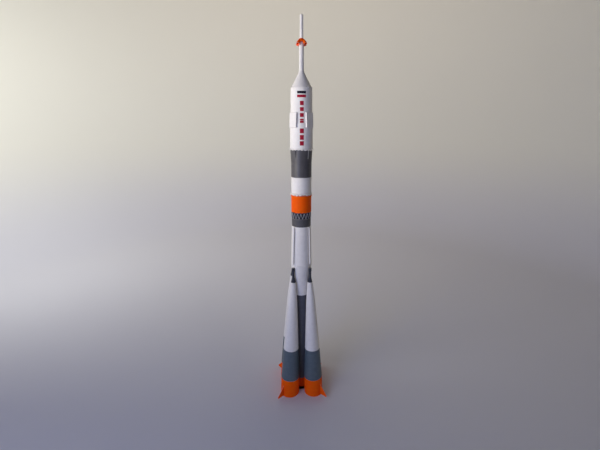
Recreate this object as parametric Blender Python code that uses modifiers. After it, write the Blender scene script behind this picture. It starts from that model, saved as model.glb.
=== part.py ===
"""Card display model of a space rocket: a central stack of turned sections with four leaning boosters.

The model stands upright on the level feet of its booster skirts, with its marks facing -Y. Every
length below is in millimetres and is turned into metres where a mesh is made.
"""

import math
from typing import NamedTuple

import bmesh
import bpy
from mathutils import Matrix, Vector

MILLIMETRE = 0.001
GLUE_GAP = 0.3
MERGE_DISTANCE = 0.00005
SHARP_EDGE = math.radians(28)
EIGHTH_TURN = math.radians(45)

MODEL_NAME = "space_rocket_model"
CUTTER_COLLECTION = "cutters"

# How many flat sides stand for a circle, from the widest tubes to the thinnest rods
WIDE_SIDES = 40
BOOSTER_SIDES = 32
ROD_SIDES = 16
BELL_SIDES = 12
VERNIER_SIDES = 8

# Card colours: material name, colour as sRGB hex, roughness
CARD_COLOURS = {
    "white_card": ("EFEBE7", 0.62),
    "orange_card": ("E8520A", 0.60),
    "dark_grey_card": ("47484C", 0.62),
    "blue_grey_card": ("3A4650", 0.62),
    "navy_card": ("2A2B3C", 0.60),
    "grey_strut_card": ("6E7178", 0.60),
}


class Section(NamedTuple):
    """One turned piece of the stack, its outline as (height, diameter) pairs from the top down."""

    name: str
    card: str
    sides: int
    outline: tuple


# The fairing's outline is shared by its two tubes and by the cut in the grid fin boxes
FAIRING_JOINT = 530.3
FAIRING_JOINT_DIAMETER = 36.9
FAIRING_ABOVE_JOINT = ((580.7, 36.0), (FAIRING_JOINT, FAIRING_JOINT_DIAMETER))
FAIRING_BELOW_JOINT = ((524.0, 39.1), (485.3, 39.4))

CORE_TOP = 343.0
CORE_TOP_DIAMETER = 35.1
CORE_SHOULDER = 273.8
CORE_SHOULDER_DIAMETER = 39.8
TUBE_DIAMETER = 27.6

STACK = (
    Section("escape_spire_tip", "white_card", ROD_SIDES, ((687.5, 4.4), (686.9, 5.4), (666.5, 5.4))),
    Section("escape_spire_rod", "white_card", ROD_SIDES, ((666.2, 5.9), (654.3, 5.9))),
    Section("escape_tube", "white_card", ROD_SIDES, ((648.7, 7.6), (608.3, 7.8))),
    Section("nose_cone", "white_card", WIDE_SIDES, ((608.0, 8.6), (600.0, 14.4), (581.0, 35.6))),
    Section("fairing_upper", "white_card", WIDE_SIDES, FAIRING_ABOVE_JOINT),
    Section("fairing_lower", "white_card", WIDE_SIDES, (
        (FAIRING_JOINT - GLUE_GAP, FAIRING_JOINT_DIAMETER),
        *FAIRING_BELOW_JOINT,
    )),
    Section("fairing_foot_rim", "white_card", WIDE_SIDES, ((485.0, 40.6), (482.0, 42.4))),
    Section("adapter_cone", "dark_grey_card", WIDE_SIDES, ((481.7, 38.3), (460.3, 35.8))),
    Section("adapter_tube", "dark_grey_card", WIDE_SIDES, ((460.0, 35.8), (436.1, 35.8))),
    Section("upper_stage_lip", "white_card", WIDE_SIDES, ((435.8, 36.8), (433.6, 36.8))),
    Section("upper_stage_tube", "white_card", WIDE_SIDES, ((433.3, 35.8), (408.3, 35.8))),
    Section("upper_stage_rim", "white_card", WIDE_SIDES, ((408.0, 37.0), (404.5, 40.6))),
    Section("upper_stage_tail", "orange_card", WIDE_SIDES, ((404.2, 36.2), (374.0, 36.2))),
    Section("interstage_drum", "dark_grey_card", WIDE_SIDES, ((373.7, 33.3), (362.2, 33.3))),
    Section("interstage_band", "dark_grey_card", WIDE_SIDES, ((361.9, 34.9), (347.5, 34.9))),
    Section("core_collar", "white_card", WIDE_SIDES, ((347.2, 35.9), (343.3, 35.9))),
    Section("core_upper_tank", "white_card", WIDE_SIDES, (
        (CORE_TOP, CORE_TOP_DIAMETER),
        (CORE_SHOULDER, CORE_SHOULDER_DIAMETER),
    )),
    Section("core_waist", "white_card", WIDE_SIDES, (
        (CORE_SHOULDER - GLUE_GAP, CORE_SHOULDER_DIAMETER),
        (218.3, 28.9),
    )),
    Section("core_waist_collar", "white_card", WIDE_SIDES, ((218.0, 30.0), (211.6, 30.0))),
    Section("core_tube", "blue_grey_card", WIDE_SIDES, ((211.3, TUBE_DIAMETER), (21.3, TUBE_DIAMETER))),
)


class Skirt(NamedTuple):
    """An open tail skirt: its top and foot, its outer diameters there, its wall and its ceiling."""

    top: float
    foot: float
    top_diameter: float
    foot_diameter: float
    wall: float
    ceiling: float


CORE_SKIRT = Skirt(top=21.0, foot=0.6, top_diameter=27.6, foot_diameter=28.4, wall=1.2, ceiling=9.0)
BOOSTER_SKIRT = Skirt(top=36.3, foot=-2.0, top_diameter=36.4, foot_diameter=37.0, wall=1.2, ceiling=9.0)


class EngineBase(NamedTuple):
    """The disc inside a skirt and its nozzles: rings as (count, ring radius, mouth radius)."""

    disc_radius: float
    disc_top: float
    disc_thickness: float
    mouth_height: float
    main_ring: tuple
    vernier_ring: tuple
    vernier_turn: float


CORE_ENGINES = EngineBase(12.6, 8.7, 1.0, 1.8, (4, 5.9, 3.6), (4, 10.8, 1.2), 0.0)
BOOSTER_ENGINES = EngineBase(16.8, 8.7, 1.0, 1.9, (4, 7.6, 4.3), (2, 14.0, 1.5), 2 * EIGHTH_TURN)
BELL_WALL = 0.5
BELL_THROAT_SHARE = 0.42
BELL_ROOF_SHARE = 0.35
VERNIER_LENGTH_SHARE = 0.8
VERNIER_THROAT_SHARE = 0.6

# The crown of small nozzles round the escape tower
CROWN_TOP = 654.0
CROWN_FOOT = 649.0
CROWN_TOP_RADIUS = 3.4
CROWN_FOOT_RADIUS = 6.3
CROWN_BELLS = 4
CROWN_BELL_LENGTH = 7.0
CROWN_BELL_RADIUS = 3.0
CROWN_BELL_START = (5.0, 651.4)
CROWN_BELL_TILT = math.radians(30)

# The zigzag of struts round the interstage drum
STRUT_COUNT = 18
STRUT_RADIUS = 0.5
STRUT_CENTRE = 17.45
STRUT_TOP = 372.7
STRUT_FOOT = 363.1

# The four boosters and what repeats with them stand between the X and Y directions
BOOSTER_AZIMUTHS = tuple(EIGHTH_TURN * (1 + 2 * quarter) for quarter in range(4))
BOOSTER_FOOT_RADIUS = 34.0
BOOSTER_LEAN = math.radians(2.387)


class Stance(NamedTuple):
    """How a booster piece stands: its foot's distance from the axis and height, and its lean inwards."""

    distance: float
    height: float
    lean: float


# The upper cone leans in a little more than the lower one, and the tip on it leans out again
BOOSTER_STANCE = Stance(BOOSTER_FOOT_RADIUS, 0.0, BOOSTER_LEAN)
UPPER_CONE_STANCE = Stance(29.78, 101.25, math.radians(3.15))
TIP_STANCE = Stance(22.0, 240.7, math.radians(-1.0))

# The outlines of the upper cone and the tip count from their own feet
BOOSTER_LOWER_CONE = ((101.0, 29.05), (36.6, 36.4))
BOOSTER_UPPER_CONE = ((139.2, 8.6), (138.0, 10.2), (98.6, 17.9), (0.0, 29.3))
BOOSTER_TIP = ((28.0, 5.4), (22.8, 5.4), (20.4, 4.6), (11.8, 4.6), (3.8, 7.6), (0.0, 9.4))

# A fin is a flat card triangle with its tip cut blunt, as (distance from the axis, height)
FIN_THICKNESS = 1.0
FIN_SEAT_GAP = 0.45
FIN_TIP_RADIUS = 68.0
FIN_FOOT_HEIGHT = 2.2
FIN_TIP_FOOT = 3.6
FIN_TIP_TOP = 6.4
FIN_ROOT_TOP = 24.3

# A rail's ends, as (distance from the axis, height), clear of the collar and the tank's shoulder
RAIL_RADIUS = 1.3
RAIL_TOP = (19.7, 347.0)
RAIL_FOOT = (22.3, 275.8)
RAIL_DOME_STEPS = 3

GRID_FIN_WIDTH = 16.2
GRID_FIN_TOP = 542.8
GRID_FIN_FOOT = 519.3
GRID_FIN_FACE = 21.3
GRID_FIN_BEVEL = 0.4


def linear_channel(value):
    """Turn one sRGB channel, 0 to 1, into linear light."""
    if value <= 0.04045:
        return value / 12.92
    return ((value + 0.055) / 1.055) ** 2.4


def linear_colour(code):
    """Turn an sRGB hex code into a linear RGBA colour."""
    channels = [int(code[start:start + 2], 16) / 255 for start in (0, 2, 4)]
    return tuple(linear_channel(channel) for channel in channels) + (1.0,)


def clear_scene():
    """Remove every object, so that the model starts from an empty scene."""
    for existing in list(bpy.data.objects):
        bpy.data.objects.remove(existing, do_unlink=True)


def new_collection(name):
    """Make a collection under the scene's own."""
    collection = bpy.data.collections.new(name)
    bpy.context.scene.collection.children.link(collection)
    return collection


def card_material(name):
    """Make the plain material of one card colour."""
    code, roughness = CARD_COLOURS[name]
    material = bpy.data.materials.new(name)
    material.use_nodes = True
    shader = material.node_tree.nodes["Principled BSDF"]
    shader.inputs["Base Color"].default_value = linear_colour(code)
    shader.inputs["Roughness"].default_value = roughness
    shader.inputs["Metallic"].default_value = 0.0
    return material


class Workshop:
    """The collections and card materials that every piece is made with."""

    def __init__(self):
        self.parts = new_collection(MODEL_NAME)
        self.cutters = new_collection(CUTTER_COLLECTION)
        self.cards = {name: card_material(name) for name in CARD_COLOURS}

    def add_part(self, name, mesh, card):
        """Place a mesh among the parts in its own card colour."""
        if not mesh.materials:
            mesh.materials.append(self.cards[card])
        part = bpy.data.objects.new(name, mesh)
        self.parts.objects.link(part)
        return part

    def add_cutter(self, name, mesh):
        """Place a mesh among the cutters, hidden from renders."""
        cutter = bpy.data.objects.new(name, mesh)
        cutter.hide_render = True
        cutter.display_type = "WIRE"
        self.cutters.objects.link(cutter)
        return cutter


def baked_mesh(source, name):
    """Return the mesh that an object's modifiers give, and remove the object."""
    bpy.context.view_layer.update()
    evaluated = source.evaluated_get(bpy.context.evaluated_depsgraph_get())
    mesh = bpy.data.meshes.new_from_object(evaluated)
    mesh.name = name
    bpy.data.objects.remove(source, do_unlink=True)
    return mesh


def shade_round(mesh):
    """Shade a mesh smooth, with its real edges kept sharp."""
    mesh.shade_smooth()
    mesh.set_sharp_from_angle(angle=SHARP_EDGE)


def turned_mesh(name, outline, sides):
    """Turn an outline of (radius, height) points about Z, from its top point down to its last."""
    mesh = bpy.data.meshes.new(name)
    points = [(radius * MILLIMETRE, 0.0, height * MILLIMETRE) for radius, height in outline]
    edges = [(index, index + 1) for index in range(len(points) - 1)]
    mesh.from_pydata(points, edges, [])
    source = bpy.data.objects.new(name, mesh)
    bpy.context.scene.collection.objects.link(source)
    screw = source.modifiers.new("turn", "SCREW")
    screw.axis = "Z"
    screw.angle = 2 * math.pi
    screw.steps = sides
    screw.render_steps = sides
    screw.use_merge_vertices = True
    screw.merge_threshold = MERGE_DISTANCE
    solid = baked_mesh(source, name)
    shade_round(solid)
    return solid


def closed_outline(pairs):
    """Close (height, diameter) pairs with points on the axis, as (radius, height) points."""
    side = [(diameter / 2, height) for height, diameter in pairs]
    return [(0.0, side[0][1])] + side + [(0.0, side[-1][1])]


def skirt_outline(skirt):
    """Outline an open skirt: down its outer wall, across its rim and up to its ceiling."""
    inner = skirt.foot_diameter / 2 - skirt.wall
    return [
        (0.0, skirt.top),
        (skirt.top_diameter / 2, skirt.top),
        (skirt.foot_diameter / 2, skirt.foot),
        (inner, skirt.foot),
        (inner, skirt.ceiling),
        (0.0, skirt.ceiling),
    ]


def bell_outline(mouth_radius, length, wall):
    """Outline a hollow nozzle bell that hangs from height zero."""
    throat = mouth_radius * BELL_THROAT_SHARE
    roof = -BELL_ROOF_SHARE * length
    return [
        (0.0, 0.0),
        (throat, 0.0),
        (mouth_radius, -length),
        (mouth_radius - wall, -length),
        (throat, roof),
        (0.0, roof),
    ]


def ring_places(count, radius, turn, height):
    """Matrices that place copies evenly on a level circle, each turned to face outwards."""
    for index in range(count):
        angle = turn + 2 * math.pi * index / count
        place = Matrix.Rotation(angle, 4, "Z") @ Matrix.Translation(
            Vector((radius, 0.0, height)) * MILLIMETRE
        )
        yield place


def joined_solid(name, base_mesh, additions):
    """Join meshes at their places onto a base as one solid with Boolean unions."""
    joined = bpy.data.objects.new(name, base_mesh)
    bpy.context.scene.collection.objects.link(joined)
    tools = []
    for mesh, place in additions:
        tool = bpy.data.objects.new(mesh.name, mesh)
        tool.matrix_world = place
        bpy.context.scene.collection.objects.link(tool)
        tools.append(tool)
        union = joined.modifiers.new("join", "BOOLEAN")
        union.operation = "UNION"
        union.object = tool
    solid = baked_mesh(joined, name)
    for tool in tools:
        bpy.data.objects.remove(tool, do_unlink=True)
    shade_round(solid)
    return solid


def engine_mesh(name, engines):
    """Make a base disc with its hollow main nozzles and small vernier nozzles as one solid."""
    disc_foot = engines.disc_top - engines.disc_thickness
    root = disc_foot + engines.disc_thickness / 2
    bell_length = root - engines.mouth_height
    disc = turned_mesh(
        name + "_disc",
        [
            (0.0, engines.disc_top),
            (engines.disc_radius, engines.disc_top),
            (engines.disc_radius, disc_foot),
            (0.0, disc_foot),
        ],
        BOOSTER_SIDES,
    )
    main_count, main_radius, main_mouth = engines.main_ring
    small_count, small_radius, small_mouth = engines.vernier_ring
    main_bell = turned_mesh(name + "_bell", bell_outline(main_mouth, bell_length, BELL_WALL), BELL_SIDES)
    small_length = bell_length * VERNIER_LENGTH_SHARE
    small_outline = [
        (0.0, 0.0),
        (small_mouth * VERNIER_THROAT_SHARE, 0.0),
        (small_mouth, -small_length),
        (0.0, -small_length),
    ]
    small_bell = turned_mesh(name + "_vernier", small_outline, VERNIER_SIDES)
    additions = [
        (main_bell, place)
        for place in ring_places(main_count, main_radius, EIGHTH_TURN, root)
    ]
    additions += [
        (small_bell, place)
        for place in ring_places(small_count, small_radius, engines.vernier_turn, root)
    ]
    return joined_solid(name, disc, additions)


def build_stack(workshop):
    """Turn every section of the central stack."""
    for section in STACK:
        mesh = turned_mesh(section.name, closed_outline(section.outline), section.sides)
        workshop.add_part(section.name, mesh, section.card)


def build_core_tail(workshop):
    """Make the core's open skirt and the engines inside it."""
    skirt = turned_mesh("core_skirt", skirt_outline(CORE_SKIRT), WIDE_SIDES)
    workshop.add_part("core_skirt", skirt, "orange_card")
    workshop.add_part("core_engines", engine_mesh("core_engines", CORE_ENGINES), "dark_grey_card")


def build_escape_crown(workshop):
    """Make the hub of the escape tower with its small bells turned outwards."""
    hub = turned_mesh(
        "crown_hub",
        [
            (0.0, CROWN_TOP),
            (CROWN_TOP_RADIUS, CROWN_TOP),
            (CROWN_FOOT_RADIUS, CROWN_FOOT),
            (0.0, CROWN_FOOT),
        ],
        ROD_SIDES,
    )
    bell = turned_mesh(
        "crown_bell", bell_outline(CROWN_BELL_RADIUS, CROWN_BELL_LENGTH, BELL_WALL), BELL_SIDES
    )
    start_radius, start_height = CROWN_BELL_START
    tilt = Matrix.Rotation(-CROWN_BELL_TILT, 4, "Y")
    additions = [
        (bell, place @ tilt)
        for place in ring_places(CROWN_BELLS, start_radius, EIGHTH_TURN, start_height)
    ]
    mesh = joined_solid("escape_crown", hub, additions)
    workshop.add_part("escape_crown", mesh, "orange_card")


def build_struts(workshop):
    """Bend one closed zigzag of card struts round the interstage drum."""
    curve = bpy.data.curves.new("interstage_struts", "CURVE")
    curve.dimensions = "3D"
    curve.bevel_depth = STRUT_RADIUS * MILLIMETRE
    curve.bevel_resolution = 1
    spline = curve.splines.new("POLY")
    corners = 2 * STRUT_COUNT
    spline.points.add(corners - 1)
    for index in range(corners):
        angle = math.pi * index / STRUT_COUNT
        height = STRUT_TOP if index % 2 else STRUT_FOOT
        spline.points[index].co = (
            STRUT_CENTRE * math.cos(angle) * MILLIMETRE,
            STRUT_CENTRE * math.sin(angle) * MILLIMETRE,
            height * MILLIMETRE,
            1.0,
        )
    spline.use_cyclic_u = True
    source = bpy.data.objects.new("interstage_struts", curve)
    bpy.context.scene.collection.objects.link(source)
    mesh = baked_mesh(source, "interstage_struts")
    workshop.add_part("interstage_struts", mesh, "grey_strut_card")


def rail_mesh(length):
    """Turn a rail as a rod with a domed foot at height zero."""
    dome = []
    for step in range(RAIL_DOME_STEPS + 1):
        angle = 0.5 * math.pi * step / RAIL_DOME_STEPS
        dome.append((RAIL_RADIUS * math.cos(angle), RAIL_RADIUS * (1 - math.sin(angle))))
    outline = [(0.0, length), (RAIL_RADIUS, length)] + dome[:-1] + [(0.0, 0.0)]
    return turned_mesh("core_rail", outline, ROD_SIDES)


def build_rails(workshop):
    """Lay one rail on the core's swelling side above each booster."""
    foot_distance, foot_height = RAIL_FOOT
    inward = foot_distance - RAIL_TOP[0]
    rise = RAIL_TOP[1] - foot_height
    mesh = rail_mesh(math.hypot(inward, rise))
    lean = Matrix.Rotation(-math.atan2(inward, rise), 4, "Y")
    foot = Matrix.Translation(Vector((foot_distance, 0.0, foot_height)) * MILLIMETRE)
    for number, azimuth in enumerate(BOOSTER_AZIMUTHS, start=1):
        rail = workshop.add_part(f"core_rail_{number}", mesh, "white_card")
        rail.matrix_world = Matrix.Rotation(azimuth, 4, "Z") @ foot @ lean


def fairing_cutter(workshop):
    """Turn the fairing's outline, a glue gap larger, to cut the grid fin boxes with."""
    outline = FAIRING_ABOVE_JOINT + FAIRING_BELOW_JOINT
    grown = [(height, diameter + 2 * GLUE_GAP) for height, diameter in outline]
    mesh = turned_mesh("fairing_cutter", closed_outline(grown), WIDE_SIDES)
    return workshop.add_cutter("fairing_cutter", mesh)


def box_mesh(name, size, centre):
    """Make a box of a given size about a centre."""
    mesh = bpy.data.meshes.new(name)
    shape = bmesh.new()
    bmesh.ops.create_cube(shape, size=1.0)
    place = Matrix.Translation(Vector(centre) * MILLIMETRE)
    bmesh.ops.transform(
        shape, matrix=place @ Matrix.Diagonal(Vector(size) * MILLIMETRE).to_4x4(), verts=shape.verts
    )
    shape.to_mesh(mesh)
    shape.free()
    return mesh


def build_grid_fins(workshop):
    """Seat a flat folded grid fin box on the fairing above each booster."""
    cutter = fairing_cutter(workshop)
    height = GRID_FIN_TOP - GRID_FIN_FOOT
    depth = GRID_FIN_FACE / 2
    mesh = box_mesh(
        "grid_fin",
        (depth, GRID_FIN_WIDTH, height),
        (GRID_FIN_FACE - depth / 2, 0.0, GRID_FIN_FOOT + height / 2),
    )
    source = bpy.data.objects.new("grid_fin", mesh)
    bpy.context.scene.collection.objects.link(source)
    bevel = source.modifiers.new("card folds", "BEVEL")
    bevel.width = GRID_FIN_BEVEL * MILLIMETRE
    bevel.segments = 1
    cut = source.modifiers.new("seat on fairing", "BOOLEAN")
    cut.operation = "DIFFERENCE"
    cut.object = cutter
    solid = baked_mesh(source, "grid_fin")
    for number, azimuth in enumerate(BOOSTER_AZIMUTHS, start=1):
        fin = workshop.add_part(f"grid_fin_{number}", solid, "white_card")
        fin.rotation_euler = (0.0, 0.0, azimuth)


def booster_skirt_mesh(workshop):
    """Turn a booster's skirt about its own axis, then cut its foot level with the ground."""
    mesh = turned_mesh("booster_skirt", skirt_outline(BOOSTER_SKIRT), BOOSTER_SIDES)
    source = bpy.data.objects.new("booster_skirt", mesh)
    bpy.context.scene.collection.objects.link(source)
    reach = 2 * BOOSTER_SKIRT.foot_diameter
    ground = workshop.add_cutter(
        "ground_cutter", box_mesh("ground_cutter", (reach, reach, reach), (0.0, 0.0, -reach / 2))
    )
    ground.rotation_euler = (0.0, BOOSTER_LEAN, 0.0)
    level = source.modifiers.new("level foot", "BOOLEAN")
    level.operation = "DIFFERENCE"
    level.object = ground
    solid = baked_mesh(source, "booster_skirt")
    shade_round(solid)
    return solid


def fin_mesh():
    """Cut a fin from flat card, upright in the plane through the rocket's axis."""
    lean_rate = math.tan(BOOSTER_LEAN)
    taper_rate = (BOOSTER_SKIRT.foot_diameter - BOOSTER_SKIRT.top_diameter) / 2 / BOOSTER_SKIRT.top
    seat = BOOSTER_FOOT_RADIUS + BOOSTER_SKIRT.foot_diameter / 2 + FIN_SEAT_GAP
    corners = (
        (seat - (lean_rate + taper_rate) * FIN_FOOT_HEIGHT, FIN_FOOT_HEIGHT),
        (FIN_TIP_RADIUS, FIN_TIP_FOOT),
        (FIN_TIP_RADIUS, FIN_TIP_TOP),
        (seat - (lean_rate + taper_rate) * FIN_ROOT_TOP, FIN_ROOT_TOP),
    )
    curve = bpy.data.curves.new("booster_fin", "CURVE")
    curve.dimensions = "2D"
    curve.fill_mode = "BOTH"
    curve.extrude = FIN_THICKNESS / 2 * MILLIMETRE
    spline = curve.splines.new("POLY")
    spline.points.add(len(corners) - 1)
    for point, (distance, height) in zip(spline.points, corners):
        point.co = (distance * MILLIMETRE, height * MILLIMETRE, 0.0, 1.0)
    spline.use_cyclic_u = True
    source = bpy.data.objects.new("booster_fin", curve)
    bpy.context.scene.collection.objects.link(source)
    mesh = baked_mesh(source, "booster_fin")
    mesh.transform(Matrix.Rotation(2 * EIGHTH_TURN, 4, "X"))
    shape = bmesh.new()
    shape.from_mesh(mesh)
    bmesh.ops.remove_doubles(shape, verts=shape.verts, dist=MERGE_DISTANCE)
    shape.to_mesh(mesh)
    shape.free()
    return mesh


def build_boosters(workshop):
    """Make each booster's pieces once and stand four copies of them round the core."""
    tip = turned_mesh("booster_tip", closed_outline(BOOSTER_TIP), ROD_SIDES)
    upper_cone = turned_mesh("booster_upper_cone", closed_outline(BOOSTER_UPPER_CONE), BOOSTER_SIDES)
    lower_cone = turned_mesh("booster_lower_cone", closed_outline(BOOSTER_LOWER_CONE), BOOSTER_SIDES)
    pieces = (
        ("tip", "navy_card", tip, TIP_STANCE),
        ("upper_cone", "white_card", upper_cone, UPPER_CONE_STANCE),
        ("lower_cone", "blue_grey_card", lower_cone, BOOSTER_STANCE),
        ("skirt", "orange_card", booster_skirt_mesh(workshop), BOOSTER_STANCE),
        ("engines", "dark_grey_card", engine_mesh("booster_engines", BOOSTER_ENGINES), BOOSTER_STANCE),
    )
    fin = fin_mesh()
    for number, azimuth in enumerate(BOOSTER_AZIMUTHS, start=1):
        turn = Matrix.Rotation(azimuth, 4, "Z")
        for piece, card, mesh, stance in pieces:
            part = workshop.add_part(f"booster_{number}_{piece}", mesh, card)
            foot = Matrix.Translation(Vector((stance.distance, 0.0, stance.height)) * MILLIMETRE)
            part.matrix_world = turn @ foot @ Matrix.Rotation(-stance.lean, 4, "Y")
        tail = workshop.add_part(f"booster_{number}_fin", fin, "orange_card")
        tail.matrix_world = turn


def main():
    """Build the whole model."""
    clear_scene()
    workshop = Workshop()
    build_stack(workshop)
    build_core_tail(workshop)
    build_escape_crown(workshop)
    build_struts(workshop)
    build_rails(workshop)
    build_grid_fins(workshop)
    build_boosters(workshop)


main()
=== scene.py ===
"""Looks of the card rocket model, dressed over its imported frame.

Every section of the model is a sheet of printed card that was rolled and glued by hand. So each
surface here is a rolled one: an outline carried round an axis, wound in by one thickness of card
from its lap, with a slight wobble and unevenly cut ends. Lengths are in millimetres and angles in
degrees until a mesh is made. The marks on the fairing face -Y.
"""

import logging
import math
from dataclasses import dataclass, fields, replace
from enum import Enum

import bpy
import numpy as np
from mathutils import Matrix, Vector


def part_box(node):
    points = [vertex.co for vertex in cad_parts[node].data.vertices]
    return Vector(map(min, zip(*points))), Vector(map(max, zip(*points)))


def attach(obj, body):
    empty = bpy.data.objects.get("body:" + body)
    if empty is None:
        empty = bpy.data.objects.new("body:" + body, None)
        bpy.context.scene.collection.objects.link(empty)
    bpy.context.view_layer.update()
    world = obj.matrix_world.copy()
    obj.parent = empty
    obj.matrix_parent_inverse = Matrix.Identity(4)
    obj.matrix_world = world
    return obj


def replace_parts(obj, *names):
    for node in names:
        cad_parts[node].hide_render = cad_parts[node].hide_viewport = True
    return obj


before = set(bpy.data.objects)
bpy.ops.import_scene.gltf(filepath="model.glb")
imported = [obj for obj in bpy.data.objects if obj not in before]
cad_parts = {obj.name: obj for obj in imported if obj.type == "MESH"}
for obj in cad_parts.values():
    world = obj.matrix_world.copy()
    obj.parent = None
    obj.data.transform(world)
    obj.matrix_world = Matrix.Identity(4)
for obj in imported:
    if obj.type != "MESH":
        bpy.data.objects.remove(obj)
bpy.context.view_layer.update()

Array = np.ndarray
Pairs = tuple[tuple[float, float], ...]
Feed = bpy.types.NodeSocket | float | tuple[float, ...]

log = logging.getLogger("rocket_looks")

MM = 0.001
FULL_TURN = 2 * math.pi
ROOT = "root"
PAPER_MAP = "paper"
BARE_EDGE = "bare_edge"
# Places of the colours among the inputs and outputs of a Mix node, which has some for each kind of value
FIRST_COLOUR, SECOND_COLOUR, MIXED_COLOUR = 6, 7, 2
FOLD_ANGLE = math.radians(32)
# How thick a card is drawn, how soft its corners are, and how near the axis a point counts as on it
CARD = 0.5
SOFT_CORNER = 0.12
NEAR_AXIS = 0.2
# The share of a turn that the step at a lap takes
LAP_EDGE_TURN = 0.0012
# Lowest and highest frequency of a tube's wobble and of the ripple of its cut ends
WOBBLE_WAVES = (2, 6)
RIPPLE_WAVES = (3, 40)
# What the seeds of the ripples add to the roll's own
TOP_SEED = 100
FOOT_SEED = 200
# The azimuths that the marks face and that the boosters stand at
FRONT = 270.0
QUARTERS = (45.0, 135.0, 225.0, 315.0)


class Slot(Enum):
    """The record's material slots, one for each printed card."""

    WHITE = "white_card"
    ORANGE = "orange_card"
    DARK_GREY = "dark_grey_card"
    BLUE_GREY = "blue_grey_card"
    NAVY = "navy_card"
    STRUT_GREY = "grey_strut_card"


class Closing(Enum):
    """How the first and last rows of a grid of points are closed."""

    CAPS = "caps"
    RING = "ring"


# Colours and materials


def linear(code: str) -> tuple[float, float, float, float]:
    """Turn an sRGB hex code into a linear colour.

    Args:
        code: Six hex digits.

    Returns:
        Red, green, blue and alpha, 0 to 1.
    """
    channels = np.array([int(code[start:start + 2], 16) for start in (0, 2, 4)]) / 255
    light = np.where(channels <= 0.04045, channels / 12.92, ((channels + 0.055) / 1.055) ** 2.4)
    return (*light.tolist(), 1.0)


def add_node(
    tree: bpy.types.NodeTree, kind: str, inputs: dict[str | int, Feed] | None = None, **settings: str,
) -> bpy.types.Node:
    """Add a node with its settings and inputs.

    Args:
        tree: The node tree it goes into.
        kind: Blender's name of the node's type.
        inputs: For each input, by name or place, a constant or another node's output.
        **settings: The node's own properties.

    Returns:
        The node.
    """
    node = tree.nodes.new(kind)
    for name, value in settings.items():
        setattr(node, name, value)
    for name, value in (inputs or {}).items():
        if isinstance(value, bpy.types.NodeSocket):
            tree.links.new(value, node.inputs[name])
        else:
            node.inputs[name].default_value = value
    return node


def per_mm(size: float) -> float:
    """Scale of a pattern in metres whose grains are this many millimetres."""
    return 1.0 / (size * MM)


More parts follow.
